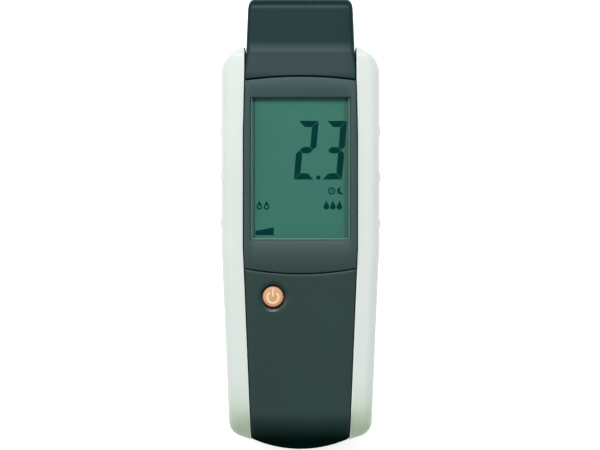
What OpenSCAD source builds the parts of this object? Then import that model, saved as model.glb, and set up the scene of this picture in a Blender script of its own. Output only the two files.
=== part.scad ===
// Pin-type moisture meter: a slim hand-held case with silver side rails, a display,
// one power button, two electrode pins under a pull-off cap and a sliding battery cover.
// X is across, +Y runs towards the pins, +Z comes out of the display. The back lies at Z = 0.

/* [Case] */
// Length from the foot of the case to the end of the cap
total_length = 139; // [137:0.5:141]
// Width across the side rails, without the grip ridges
case_width = 48.6; // [48:0.1:49.4]
// Height of the display bezel above the back
case_height = 26; // [26:0.1:26.6]
// Width of the dark strip between the side rails
strip_width = 34.8; // [34.6:0.1:35.2]
// Wall of the housing halves
wall = 2; // [1.8:0.1:2]
// Thickness of the side rails over the housing
rail_wall = 2.4; // [2.2:0.1:2.5]
// Dark seam between the strip and each side rail
rail_seam = 0.25; // [0.15:0.05:0.3]

/* [Display] */
// Width of the window opening
window_width = 30.6; // [29:0.1:30.8]
// Lower edge of the window opening
window_low = -4.6; // [-5:0.1:-4]
// Upper edge of the window opening
window_high = 39.1; // [38:0.1:39.3]
// Height of one display digit
digit_height = 18; // [14:0.5:19]
// Slant of the digits in degrees
digit_slant = 5; // [0:0.5:8]

/* [Button] */
// Place of the power button across the case
button_x = -8.4; // [-9:0.1:-7]
// Place of the power button along the case
button_y = -22; // [-23:0.1:-21]
// Radius of the power button
button_r = 3.15; // [3:0.05:3.3]
// Radius of the hole that the button moves in
button_hole_r = 3.75; // [3.6:0.05:3.8]

/* [Pins] */
// Distance between the two electrode pins
pin_spacing = 15; // [13:0.5:17]
// Radius of an electrode pin
pin_r = 1.05; // [0.9:0.05:1.1]
// End of the pins' points
pin_tip_y = 66.5; // [65:0.5:66.8]

/* [Battery] */
// Diameter of one coin cell
cell_d = 20; // [19.8:0.1:20]
// Thickness of one coin cell
cell_t = 3.2; // [3:0.1:3.2]
// Centre of the battery well along the case
well_y = -46; // [-47:0.5:-45.5]

/* [Hidden] */
$fn = 64;
slack = 0.1;
big = 200;
half_w = case_width / 2;
half_l = total_length / 2;
strip_hw = strip_width / 2;
// Heights above the back
parting_z = 12.5;
panel_z = case_height - 0.5;
rail_top_z = case_height - 1;
rail_low_z = 0.9;
shelf_z = 23.35;
// Ends of the straight stretch of the strip and of the body
taper_y = -7;
neck_y = 28;
neck_end_y = 47;
neck_in = 0.45;
foot_r = 36.5;
shoulder_r = 8;
shoulder_y = 46.8;
heel_r = 5;
toe_y = -66.7;
front_r = 3.2;
heel_x = half_w - 7.3;
heel_y = -60.4;
// Seams across the strip: one bows up to the cap, one bows down to the lower panel
upper_seam_r = 124;
upper_seam_y = 45.5;
lower_seam_r = 91;
lower_seam_y = -14.85;
seam_gap = 0.2;
cap_gap = 0.4;
cavity_end_y = 42.8;
// Board and what stands on it
board_z = 16;
board_t = 1.6;
board_top = board_z + board_t;
board_hw = 15.4;
board_top_y = 41;
board_foot_y = -55.5;
board_screw_at = [[12.8, -12.5], [12.2, -50.5]];
case_screw_at = [[13, -28.5], [9, -60]];
boss_r = 2.4;
// Display stack
glass_low = window_low - 1;
glass_high = window_high + 1;
glass_hw = window_width / 2 + 0.25;
glass_z = 22;
glass_top = 23.2;
pane_z = 23.45;
pane_top = 24.9;
pane_face = 25.5;
pane_gap = 0.15;
// Button and switch
button_top = panel_z + 0.1;
plunger_top = 20.25;
// Probe head
pin_z = 12.7;
nose_hw = 14.2;
nose_low = 4.6;
nose_high = 20.8;
nose_y = 45.6;
nose_end = 54.5;
collar_end = 57.2;
neck_hw = 12.9;
neck_low = 6.1;
neck_high = 18.9;
socket_r = 2.25;
// Battery bay
cover_hw = 12.35;
cover_top_y = -33.6;
cover_t = 1.6;
cover_z = 0.15;
bay_floor_z = 1.85;
bay_floor_t = 1.65;
well_r = cell_d / 2 + 0.3;
cell_z = 2.4;

slate = [0.22, 0.29, 0.29];
silver = [0.85, 0.88, 0.86];

// Points along an elliptical arc
function arc(cx, cy, rx, ry, from, to, n = 8) =
    [for (i = [0:n]) let (a = from + (to - from) * i / n) [cx + rx * cos(a), cy + ry * sin(a)]];
// A right-hand outline, listed from top to bottom, closed with its mirror image
function both_halves(pts) =
    concat(pts, [for (i = [len(pts) - 1:-1:0]) [-pts[i][0], pts[i][1]]]);
// Half width of the strip where it narrows towards the foot
function strip_half(y) = strip_hw - max(0, taper_y - y) * 0.042;

module both_sides() {
    children();
    mirror([1, 0, 0]) children();
}
module block(low, high) {
    translate(low) cube(high - low);
}
// Extrudes an outline drawn in X and Z along the whole length
module along_y() {
    translate([0, big / 2, 0]) rotate([90, 0, 0]) linear_extrude(big) children();
}
// Extrudes an outline drawn in Y and Z across the whole width
module along_x() {
    translate([-big / 2, 0, 0]) rotate([90, 0, 90]) linear_extrude(big) children();
}
// Keeps what lies between two heights
module between(z0, z1) {
    intersection() {
        children();
        block([-big, -big, z0], [big, big, z1]);
    }
}
// Everything on the foot side of the upper seam, as an exact disc
module below_upper_seam(extra = 0) {
    translate([0, upper_seam_y - upper_seam_r, -1])
        cylinder(r = upper_seam_r + extra, h = big, $fn = 128);
}

// The body's three outlines, each set in by d
function front_round(d) = max(front_r - d, 0.5);
module body_plan(d) {
    polygon(both_halves(concat(
        arc(half_w - shoulder_r, shoulder_y, shoulder_r - d, shoulder_r - d, 90, 0),
        [[half_w - d, taper_y]],
        arc(heel_x, heel_y, heel_r - d, heel_r - d, 0, -70),
        [[14, toe_y + d]])));
}
module body_section(d) {
    r = front_round(d);
    polygon(both_halves(concat(
        [[strip_hw, rail_top_z - d]],
        arc(half_w - d - r, rail_top_z - 0.4 - d - r, r, r, 90, 0),
        arc(half_w - 9, rail_low_z + 9.1, 9 - d, 9.1 - d, 0, -90))));
}
module body_profile(d) {
    r = front_round(d);
    polygon(concat(
        arc(shoulder_y + shoulder_r - d - r, rail_top_z - d - r, r, r, 0, 90),
        arc(-55, rail_top_z - 11, -toe_y - 55 - d, 11 - d, 90, 180),
        arc(heel_y, rail_low_z + 5.1, heel_y - toe_y - d, 5.1 - d, 180, 270),
        arc(47.8, rail_low_z + 8.1, 7 - d, 8.1 - d, 270, 360)));
}
module body_solid(d) {
    intersection() {
        linear_extrude(case_height) body_plan(d);
        along_y() body_section(d);
        along_x() body_profile(d);
    }
}

// The dark strip: its outline set in by d, and its rounded foot seen from the side
module strip_plan(d = 0) {
    intersection() {
        polygon(both_halves([[strip_hw - neck_in - d, big / 2], [strip_hw - neck_in - d, neck_end_y],
            [strip_hw - d, neck_y], [strip_hw - d, taper_y], [strip_half(-75) - d, -75]]));
        union() {
            translate([0, foot_r - half_l]) circle(r = foot_r - d, $fn = 128);
            translate([-half_w, -30]) square([case_width, big]);
        }
    }
}
module strip_profile(d = 0) {
    polygon(concat(
        [[big / 2, panel_z - d]],
        arc(-58, panel_z - 11, half_l - 58 - d, 11 - d, 90, 180),
        arc(4 - half_l, 4, 4 - d, 4 - d, 180, 270),
        [[big / 2, d]]));
}
module strip_solid(d = 0) {
    intersection() {
        linear_extrude(case_height) strip_plan(d);
        along_x() strip_profile(d);
    }
}

// Both housing halves together, hollow
module housing() {
    difference() {
        intersection() {
            union() {
                body_solid(rail_wall + slack);
                strip_solid();
            }
            below_upper_seam();
        }
        intersection() {
            union() {
                body_solid(rail_wall + slack + wall);
                difference() {
                    strip_solid(wall);
                    block([-half_w, lower_seam_y - 2, 21.6], [half_w, big, big]);
                }
            }
            block([-big, -big, 0], [big, cavity_end_y, big]);
        }
        block([-neck_hw - slack, cavity_end_y - 1, neck_low - slack],
            [neck_hw + slack, big, neck_high + slack]);
    }
}
module post(at, z0, z1, r = boss_r) {
    translate([at[0], at[1], z0]) cylinder(r = r, h = z1 - z0);
}

module front_housing() {
    color(slate) difference() {
        union() {
            between(parting_z, big) housing();
            intersection() {
                both_sides() {
                    for (at = case_screw_at) post(at, parting_z, 24);
                    for (at = board_screw_at) post(at, board_top, 24);
                }
                union() {
                    strip_solid(wall / 2);
                    body_solid(rail_wall + wall);
                }
            }
        }
        // Seat for the display bezel, down to the shelf
        intersection() {
            block([-big, -big, shelf_z], [big, big, big]);
            translate([0, lower_seam_y + lower_seam_r, 0])
                cylinder(r = lower_seam_r + seam_gap, h = big, $fn = 128);
        }
        block([-glass_hw - 0.75, glass_low - 1.7, parting_z],
            [glass_hw + 0.75, glass_high + 1.7, big]);
        both_sides() {
            for (at = case_screw_at) post(at, parting_z - 1, 20.5, 0.95);
            for (at = board_screw_at) post(at, board_z, 22, 0.85);
        }
        translate([button_x, button_y, 0]) {
            cylinder(r = button_hole_r, h = big);
            translate([0, 0, panel_z - 0.3]) cylinder(r1 = button_hole_r, r2 = 4.65, h = 0.31);
            translate([0, 0, parting_z]) cylinder(r = 4.8, h = panel_z - wall - parting_z);
        }
    }
}

module rear_housing() {
    color(slate) difference() {
        union() {
            between(-1, parting_z) housing();
            intersection() {
                union() {
                    block([-half_w, -big, bay_floor_z],
                        [half_w, cover_top_y + 2, bay_floor_z + bay_floor_t]);
                    post([0, well_y], bay_floor_z, 13, well_r + 1.5);
                    both_sides() for (at = case_screw_at) post(at, bay_floor_z, parting_z);
                }
                union() {
                    strip_solid(wall / 2);
                    body_solid(rail_wall + wall);
                }
            }
        }
        post([0, well_y], -1, big, well_r);
        // Recess and side grooves of the sliding cover
        block([-cover_hw - 0.15, -big, -1], [cover_hw + 0.15, cover_top_y + 0.2, bay_floor_z]);
        block([-cover_hw - 0.95, -big, 0.9], [cover_hw + 0.95, cover_top_y + 0.2, bay_floor_z]);
        both_sides() {
            for (at = case_screw_at) post(at, -1, big, 1.15);
            post(case_screw_at[0], -1, 3, 2.1);
            post(case_screw_at[1], -1, 4.3, 2.1);
        }
    }
}

module side_rail() {
    difference() {
        body_solid(0);
        intersection() {
            body_solid(rail_wall);
            below_upper_seam(slack);
        }
        translate([0, 0, -1]) linear_extrude(big) strip_plan(-rail_seam);
        block([-big, -big, -1], [0, big, big]);
    }
    // Three low grip ridges on the flank
    ridge_r = 4.67;
    for (y = [0.6, 14.8, 29]) intersection() {
        translate([half_w + 0.55 - ridge_r, y, 8]) cylinder(r = ridge_r, h = 10);
        block([half_w - rail_wall + 0.6, y - 5, 0], [big, y + 5, big]);
    }
}
module right_side_rail() {
    color(silver) side_rail();
}
module left_side_rail() {
    color(silver) mirror([1, 0, 0]) side_rail();
}

module bezel_plan(d = 0) {
    intersection() {
        strip_plan(d);
        translate([0, upper_seam_y - upper_seam_r]) circle(r = upper_seam_r - d, $fn = 128);
        translate([0, lower_seam_y + lower_seam_r]) circle(r = lower_seam_r - d, $fn = 128);
    }
}
module display_bezel() {
    color(slate) difference() {
        translate([0, 0, shelf_z]) linear_extrude(case_height - shelf_z) bezel_plan();
        block([-window_width / 2, window_low, 0], [window_width / 2, window_high, big]);
        block([-glass_hw - 0.95, glass_low - 0.4, 0],
            [glass_hw + 0.95, glass_high + 0.4, pane_top + 0.05]);
    }
}
module display_window() {
    color([0.8, 0.9, 0.88, 0.3]) union() {
        block([-glass_hw - 0.85, glass_low - 0.3, pane_z],
            [glass_hw + 0.85, glass_high + 0.3, pane_top]);
        block([pane_gap - window_width / 2, window_low + pane_gap, pane_z],
            [window_width / 2 - pane_gap, window_high - pane_gap, pane_face]);
    }
}
module frame_of(low, high, border) {
    difference() {
        block(low, high);
        block([low[0] + border, low[1] + border, low[2] - 1],
            [high[0] - border, high[1] - border, high[2] + 1]);
    }
}
module window_gasket() {
    color([0.1, 0.1, 0.1])
        frame_of([-glass_hw - 0.35, glass_low - 0.35, glass_top + 0.02],
            [glass_hw + 0.35, glass_high + 0.35, pane_z - 0.02], 0.45);
}
module lcd_glass() {
    color([0.3, 0.48, 0.43])
        block([-glass_hw, glass_low, glass_z], [glass_hw, glass_high, glass_top]);
}
module lcd_reflector() {
    color([0.7, 0.75, 0.7])
        block([-glass_hw, glass_low + 2.2, glass_z - 0.4],
            [glass_hw, glass_high - 2.2, glass_z - 0.05]);
}
module lcd_frame() {
    color([0.12, 0.12, 0.13])
        frame_of([-glass_hw - 0.55, glass_low - 1.5, board_top + 0.02],
            [glass_hw + 0.55, glass_high + 1.5, glass_top], 0.45);
}
module zebra_strip(y) {
    color([0.75, 0.4, 0.45]) block([-14.4, y, board_top + 0.02], [14.4, y + 1.6, glass_z - 0.02]);
}
module zebra_strip_upper() {
    zebra_strip(glass_high - 1.8);
}
module zebra_strip_lower() {
    zebra_strip(glass_low + 0.2);
}

// Outlines of a digit's bars about its centre, mitred at the corners, with thin gaps between
bar_t = 1.9;
bar_gap = 0.1;
digit_hw = 3.05;
digit_hh = digit_height / 2;
top_bar = [[bar_gap - digit_hw, digit_hh], [digit_hw - bar_gap, digit_hh],
    [digit_hw - bar_t - bar_gap, digit_hh - bar_t], [bar_t + bar_gap - digit_hw, digit_hh - bar_t]];
side_bar = [[digit_hw, digit_hh - bar_gap], [digit_hw, bar_t / 2 + bar_gap],
    [digit_hw - bar_t / 2, bar_gap], [digit_hw - bar_t, bar_t / 2 + bar_gap],
    [digit_hw - bar_t, digit_hh - bar_t - bar_gap]];
middle_bar = both_halves([[digit_hw - bar_t - bar_gap, bar_t / 2],
    [digit_hw - bar_t / 2 - bar_gap, 0], [digit_hw - bar_t - bar_gap, -bar_t / 2]]);
// Draws a bar leaning by the digit's slant, turned over across (sx = -1) or upside down (sy = -1)
module bar(pts, sx = 1, sy = 1) {
    polygon([for (p = pts) [sx * p[0] + sy * p[1] * tan(digit_slant), sy * p[1]]]);
}
module digit_two() {
    bar(top_bar);
    bar(side_bar);
    bar(middle_bar);
    bar(side_bar, -1, -1);
    bar(top_bar, 1, -1);
}
module digit_three() {
    bar(top_bar);
    bar(side_bar);
    bar(middle_bar);
    bar(side_bar, 1, -1);
    bar(top_bar, 1, -1);
}
module drop(r) {
    circle(r = r);
    polygon([[-r * 0.94, r * 0.34], [r * 0.94, r * 0.34], [0, r * 2.2]]);
}
module lcd_segments() {
    color([0, 0.2, 0.2]) translate([0, 0, glass_top + 0.02]) linear_extrude(0.06) {
        translate([1.8, 23]) digit_two();
        translate([10.5, 23]) digit_three();
        translate([4.9, 14]) square(1.2);
        // Bar graph, then hollow drops for dry, full drops for wet, a timer and a moon for auto off
        polygon([[-13.8, -3.1], [-8.2, -3.1], [-8.2, -0.7], [-13.8, -1.8]]);
        for (x = [-12.6, -10.4]) translate([x, 5.6]) difference() {
            drop(0.85);
            circle(r = 0.45);
        }
        for (x = [8, 10, 12]) translate([x, 5.6]) drop(0.85);
        translate([9.6, 10.5]) difference() {
            circle(r = 1.1);
            circle(r = 0.75);
        }
        translate([9.5, 10.4]) square([0.22, 0.65]);
        translate([9.5, 10.4]) square([0.55, 0.22]);
        translate([12.4, 10.5]) difference() {
            circle(r = 1.1);
            translate([0.65, 0.3]) circle(r = 0.95);
        }
    }
}

module main_board() {
    color([0.1, 0.35, 0.2]) difference() {
        block([-board_hw, board_foot_y, board_z], [board_hw, board_top_y, board_top]);
        both_sides() {
            post(case_screw_at[0], 0, big, boss_r + 0.3);
            for (at = board_screw_at) post(at, 0, big, 1.1);
        }
        // The foot corners are cut back to clear the tapered wall
        both_sides() translate([board_hw, board_foot_y, 0]) rotate(45)
            cube([3, 3, big], center = true);
    }
}
module under_board(x, y, size) {
    translate([x - size[0] / 2, y - size[1] / 2, board_z - 0.05 - size[2]]) cube(size);
}
module controller_chip() {
    color([0.08, 0.08, 0.08]) under_board(2, 14, [10, 10, 1.4]);
}
module amplifier_chip() {
    color([0.08, 0.08, 0.08]) under_board(-4, 30, [5, 4, 1.4]);
}
module chip_resistors() {
    color([0.15, 0.15, 0.15]) {
        for (i = [0:4]) under_board(-9, 6 + i * 3, [2, 1.25, 0.5]);
        for (i = [0:3]) under_board(3 + i * 2.4, 30, [1.25, 2, 0.5]);
    }
}
module chip_capacitors() {
    color([0.6, 0.5, 0.35]) {
        for (i = [0:2]) under_board(11, 8 + i * 4, [1.6, 2.2, 1.1]);
        under_board(-11, -4, [3.2, 2.6, 1.6]);
    }
}

module switch_base() {
    color([0.15, 0.15, 0.16]) translate([button_x, button_y, board_top + 0.02]) difference() {
        translate([-3, -3, 0]) cube([6, 6, 2]);
        translate([0, 0, 0.3]) cylinder(r = 1.58, h = 3);
    }
}
module switch_plunger() {
    color([0.2, 0.2, 0.2]) post([button_x, button_y], board_top + 0.95, plunger_top, 1.5);
}
module power_button() {
    color([0.88, 0.55, 0.38]) union() {
        post([button_x, button_y], 22.6, button_top - 0.35, button_r);
        translate([button_x, button_y, button_top - 0.35])
            cylinder(r1 = button_r, r2 = button_r - 0.45, h = 0.35);
        post([button_x, button_y], 22.4, 23.1, 4.3);
        post([button_x, button_y], plunger_top + 0.02, 22.6, 1.6);
    }
}
module button_icon() {
    color([1, 0.9, 0.75]) translate([button_x, button_y, button_top + 0.01]) {
        translate([0, -0.2, 0]) difference() {
            cylinder(r = 2, h = 0.12);
            translate([0, 0, -1]) cylinder(r = 1.4, h = 3);
            translate([0, 0, -1]) linear_extrude(3) polygon([[0, 0], [2.2, 3], [-2.2, 3]]);
        }
        translate([-0.25, 0, 0]) cube([0.5, 2.4, 0.12]);
    }
}

module pin_axis(x, y) {
    translate([x, y, pin_z]) rotate([-90, 0, 0]) children();
}
module probe_head() {
    color([0.13, 0.16, 0.16]) difference() {
        union() {
            block([-nose_hw, nose_y, nose_low], [nose_hw, nose_end, nose_high]);
            block([-neck_hw, cavity_end_y - 0.2, neck_low], [neck_hw, nose_y + 1, neck_high]);
            block([-nose_hw, cavity_end_y - 1.7, nose_low + 0.4],
                [nose_hw, cavity_end_y - 0.1, board_z - 0.3]);
        }
        both_sides() pin_axis(pin_spacing / 2, 40) cylinder(r = socket_r + 0.05, h = 30);
    }
}
module pin_socket(x) {
    color([0.8, 0.65, 0.3]) difference() {
        pin_axis(x, 42) cylinder(r = socket_r, h = nose_end - 42);
        pin_axis(x, 45) cylinder(r = 0.75, h = 20);
    }
}
module pin_socket_left() {
    pin_socket(-pin_spacing / 2);
}
module pin_socket_right() {
    pin_socket(pin_spacing / 2);
}
// A thin shank sits in the socket; the wider working length ends in a point
module electrode_pin(x) {
    point = 3;
    color([0.8, 0.8, 0.8]) {
        pin_axis(x, 47) cylinder(r = 0.7, h = collar_end - 47 + 0.2);
        pin_axis(x, collar_end + 0.1) cylinder(r = pin_r, h = pin_tip_y - point - collar_end - 0.1);
        pin_axis(x, pin_tip_y - point) cylinder(r1 = pin_r, r2 = 0.1, h = point);
    }
}
module electrode_pin_left() {
    electrode_pin(-pin_spacing / 2);
}
module electrode_pin_right() {
    electrode_pin(pin_spacing / 2);
}
module pin_collar(x) {
    color([0.75, 0.75, 0.72]) difference() {
        pin_axis(x, nose_end + 0.02) cylinder(r = 2.9, h = collar_end - nose_end - 0.02, $fn = 6);
        pin_axis(x, nose_end - 1) cylinder(r = 0.78, h = 20);
    }
}
module pin_collar_left() {
    pin_collar(-pin_spacing / 2);
}
module pin_collar_right() {
    pin_collar(pin_spacing / 2);
}
// A short lead from the socket's tail up to the board
module pin_wire(x) {
    bend_y = 38.5;
    color([0.7, 0.15, 0.12]) {
        pin_axis(x, bend_y) cylinder(r = 0.5, h = 41.9 - bend_y);
        translate([x, bend_y, pin_z]) sphere(r = 0.5, $fn = 32);
        translate([x, bend_y, pin_z]) cylinder(r = 0.5, h = board_z - 0.1 - pin_z);
    }
}
module pin_wire_left() {
    pin_wire(-pin_spacing / 2);
}
module pin_wire_right() {
    pin_wire(pin_spacing / 2);
}

module protective_cap() {
    base_z = 25.9;
    ridge_y = 53.2;
    ridge_z = 25.2;
    sweep = 3.5;
    face_z = 24.8;
    tip_z = 24.5;
    tip_r = 2.6;
    color([0.2, 0.27, 0.28]) difference() {
        intersection() {
            linear_extrude(case_height) polygon(both_halves(concat(
                arc(14.2, half_l - 1.9, 1.9, 1.9, 90, 0),
                [[16.6, ridge_y + 1.6], [16.85, ridge_y - 0.4], [16.85, 44]])));
            along_x() polygon(concat(
                [[44, 1.2], [44, base_z], [46, base_z]],
                [for (t = [0:0.2:1]) [ridge_y + sweep * t, face_z + (ridge_z - face_z) * pow(1 - t, 2)]],
                arc(half_l - tip_r, tip_z - tip_r, tip_r, tip_r, 84, 0),
                arc(half_l - 3.2, 1.6 + 3.2, 3.2, 3.2, 0, -90)));
            along_y() polygon(both_halves(concat(
                [[16.85, case_height]], arc(14.2, 4.2, 2.65, 3, 0, -90))));
        }
        below_upper_seam(cap_gap);
        block([-nose_hw - 0.3, 40, nose_low - 0.3], [nose_hw + 0.3, half_l - 2.2, nose_high + 0.3]);
    }
}

module coin_cell(i) {
    z = cell_z + i * (cell_t + 0.01);
    color([0.8, 0.8, 0.8]) {
        post([0, well_y], z, z + cell_t - 0.5, cell_d / 2);
        post([0, well_y], z + cell_t - 0.5, z + cell_t, cell_d / 2 - 1.4);
    }
}
module coin_cell_bottom() {
    coin_cell(0);
}
module coin_cell_middle() {
    coin_cell(1);
}
module coin_cell_top() {
    coin_cell(2);
}
// Spring strip that presses on the stack's side and rises to the board
module battery_side_contact() {
    color([0.85, 0.8, 0.6]) intersection() {
        difference() {
            post([0, well_y], cell_z, board_z - 0.05, cell_d / 2 + 0.25);
            post([0, well_y], 0, big, cell_d / 2 + 0.05);
        }
        block([5, well_y - 4, 0], [20, well_y + 4, big]);
    }
}
// Leaf on top of the stack, with a leg up to the board
module battery_top_contact() {
    z = cell_z + 3 * (cell_t + 0.01) + 0.05;
    color([0.85, 0.8, 0.6]) {
        block([-3, well_y - 5, z], [3, well_y + 5, z + 0.3]);
        block([-3, well_y - 5.3, z], [3, well_y - 5, board_z - 0.05]);
    }
}
module battery_cover() {
    color(slate) difference() {
        intersection() {
            union() {
                block([-cover_hw, -big, cover_z], [cover_hw, cover_top_y, cover_z + cover_t]);
                block([-cover_hw - 0.8, -big, 1], [cover_hw + 0.8, cover_top_y, cover_z + cover_t]);
            }
            strip_solid();
        }
        // Thumb grooves
        for (i = [0:4]) block([-6, -57 - i * 1.8, -1], [6, -56.2 - i * 1.8, 0.55]);
    }
}

// A pan-head screw pointing up: head under z, shank above it
module screw(at, z, r, length, head_r, head_h) {
    translate([at[0], at[1], z]) {
        cylinder(r = r, h = length);
        translate([0, 0, -head_h]) difference() {
            cylinder(r = head_r, h = head_h);
            translate([0, 0, 0.3]) cube([head_r * 1.2, 0.4, 1], center = true);
            translate([0, 0, 0.3]) cube([0.4, head_r * 1.2, 1], center = true);
        }
    }
}
module case_screws() {
    color([0.5, 0.5, 0.52]) both_sides() {
        screw(case_screw_at[0], 3, 0.9, 16, 1.9, 1.7);
        screw(case_screw_at[1], 4.3, 0.9, 14, 1.9, 1.7);
    }
}
module board_screws() {
    color([0.7, 0.7, 0.72]) both_sides()
        for (at = board_screw_at) screw(at, board_z, 0.8, 5.5, 1.8, 1.2);
}

front_housing();
rear_housing();
left_side_rail();
right_side_rail();
display_bezel();
display_window();
window_gasket();
lcd_glass();
lcd_segments();
lcd_reflector();
lcd_frame();
zebra_strip_upper();
zebra_strip_lower();
main_board();
controller_chip();
amplifier_chip();
chip_resistors();
chip_capacitors();
switch_base();
switch_plunger();
power_button();
button_icon();
probe_head();
pin_socket_left();
pin_socket_right();
electrode_pin_left();
electrode_pin_right();
pin_collar_left();
pin_collar_right();
pin_wire_left();
pin_wire_right();
protective_cap();
coin_cell_bottom();
coin_cell_middle();
coin_cell_top();
battery_side_contact();
battery_top_contact();
battery_cover();
case_screws();
board_screws();
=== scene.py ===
"""The looks of a hand-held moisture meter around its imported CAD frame.

Lengths are millimetres in the CAD frame, and become metres where a mesh or a material is made.
The lights and the floor's size are in metres. The bezel, the pane, the lower panel, the display
shelf, the rails, the cap and the button are made here. The rear housing, the battery cover, the
button's icon and the inner pieces are the CAD's own, with better materials.
"""

import math

import bmesh
import bpy
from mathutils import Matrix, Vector


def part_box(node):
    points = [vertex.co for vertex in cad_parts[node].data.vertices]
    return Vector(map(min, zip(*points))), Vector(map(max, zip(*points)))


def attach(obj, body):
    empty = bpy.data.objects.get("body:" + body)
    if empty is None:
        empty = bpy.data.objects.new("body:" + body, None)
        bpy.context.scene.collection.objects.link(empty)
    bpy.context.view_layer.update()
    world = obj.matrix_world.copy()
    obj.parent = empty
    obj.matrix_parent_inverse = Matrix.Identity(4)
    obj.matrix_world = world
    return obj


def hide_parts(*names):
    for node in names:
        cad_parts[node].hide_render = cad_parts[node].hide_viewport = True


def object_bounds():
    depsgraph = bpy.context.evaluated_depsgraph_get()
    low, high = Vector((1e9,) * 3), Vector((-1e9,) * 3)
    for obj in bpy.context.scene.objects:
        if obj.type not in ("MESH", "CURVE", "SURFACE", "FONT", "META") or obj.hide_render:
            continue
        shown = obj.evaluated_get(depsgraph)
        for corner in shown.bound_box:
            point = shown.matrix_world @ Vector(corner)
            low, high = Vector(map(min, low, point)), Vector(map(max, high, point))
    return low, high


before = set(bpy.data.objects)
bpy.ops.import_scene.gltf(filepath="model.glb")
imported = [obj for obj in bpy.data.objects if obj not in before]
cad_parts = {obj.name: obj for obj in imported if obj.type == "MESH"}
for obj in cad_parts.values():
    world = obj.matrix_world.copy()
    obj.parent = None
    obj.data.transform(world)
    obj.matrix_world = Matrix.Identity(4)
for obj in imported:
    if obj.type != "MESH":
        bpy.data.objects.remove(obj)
cad_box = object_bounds()
MM = 0.001


def box_mm(node):
    """Lowest and highest corners of a CAD node, in millimetres."""
    low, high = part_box(node)
    return low / MM, high / MM


# ---------------------------------------------------------------- places read from the frame
bezel_low, bezel_high = box_mm("display_bezel")
front_low, front_high = box_mm("front_housing")
rail_low, rail_high = box_mm("right_side_rail")
cap_high = box_mm("protective_cap")[1]
pane_low, pane_high = box_mm("display_window")
glass_low, glass_high = box_mm("lcd_glass")
button_low, button_high = box_mm("power_button")
nose_low, nose_high = box_mm("probe_head")

STRIP_HALF = bezel_high.x
PANEL_Z = front_high.z
BEZEL_Z = bezel_high.z
FOOT_Y = front_low.y
PARTING_Z = front_low.z
BUTTON = (button_low + button_high) / 2

# ---------------------------------------------------------------- shape values, in millimetres
TAPER_Y = -7.0
TAPER_SLOPE = 0.042
NECK_Y, NECK_END_Y = 28.0, 47.0
NECK_IN = 0.45
FOOT_R = 36.5
UPPER_SEAM_R = 124.0
LOWER_SEAM_R = 91.0
LOWER_SEAM_GAP = 0.2
CAP_GAP = 0.4
RAIL_SEAM = 0.25
RAIL_HALF = 24.3
SHOULDER = (16.3, 46.8, 8.0)
HEEL = (17.0, -60.4, 5.0)
HEEL_TURN = math.radians(70)
TOE = (14.0, -66.7)
FRONT_R = 3.2
WINDOW_HALF = 15.3
WINDOW_LOW, WINDOW_HIGH = -4.6, 39.1
WALL = 1.2
BUTTON_R = 3.15
BUTTON_HOLE_R = 3.75
DISH_R = 4.65
CAP_BASE_Y = 46.0
RIDGE_Y, RIDGE_Z = 53.2, 25.2
SWEEP = 3.5
CAP_FACE_Z = 24.8
CAP_TIP_Z = 24.5
CAP_TIP_R = 2.6
CAP_HALF_BASE, CAP_HALF_WAIST, CAP_HALF_TIP = 16.85, 16.6, 16.1
CAP_BACK_Z, CAP_TIP_BACK_Z = 1.2, 1.6
CAP_BACK_R = 3.0
CAP_EDGE_R, CAP_FACE_R = 0.35, 1.25
CAP_WALL = 2.2
PIN_Z = 12.7
GRIPS = (0.6, 14.8, 29.0)
GRIP_HALF = 2.2
GRIP_LOW, GRIP_HIGH, GRIP_FADE = 8, 18, 1.2
GRIP_PROUD = rail_high.x - RAIL_HALF
RAIL_LIP = 0.3
FOOT_START = -58.0
SEAM_ROUND = 0.35

# ---------------------------------------------------------------- how finely curves are divided
LATHE_SIDES = 72
SIDE_STEPS = 18
PANEL_STEPS = 28
CORNER_STEPS = 7
EDGE_STEPS = 10

# ---------------------------------------------------------------- mesh clean-up
MERGE_DISTANCE = 0.002 * MM
SLIVER = 0.001 * MM
SHARP_ANGLE = 32.0


def strip_half(y):
    """Half width of the dark strip, which narrows towards the foot and a little towards the cap."""
    neck = min(max((y - NECK_Y) / (NECK_END_Y - NECK_Y), 0.0), 1.0)
    return STRIP_HALF - max(0.0, TAPER_Y - y) * TAPER_SLOPE - NECK_IN * neck


def seam_arc(x, radius, middle_y, sign):
    """Height along Y of a seam that bows by its radius: sign 1 bows up, -1 bows down."""
    return middle_y - sign * (radius - math.sqrt(radius * radius - x * x))


def upper_seam(x, extra):
    return seam_arc(x, UPPER_SEAM_R + extra, bezel_high.y + extra, 1)


def lower_seam(x, extra):
    return seam_arc(x, LOWER_SEAM_R + extra, bezel_low.y - extra, -1)


def foot_end(x, inset):
    """Where the strip ends at its foot."""
    radius = FOOT_R - inset
    return FOOT_Y + FOOT_R - math.sqrt(max(radius * radius - x * x, 0.0))


def lerp(a, b, t):
    return a + (b - a) * t


def turn_of(degrees):
    """Cosine and sine of an angle."""
    angle = math.radians(degrees)
    return math.cos(angle), math.sin(angle)


def smooth(t):
    t = min(max(t, 0.0), 1.0)
    return t * t * (3 - 2 * t)


def steps(a, b, n):
    return [lerp(a, b, i / n) for i in range(n + 1)]


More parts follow.
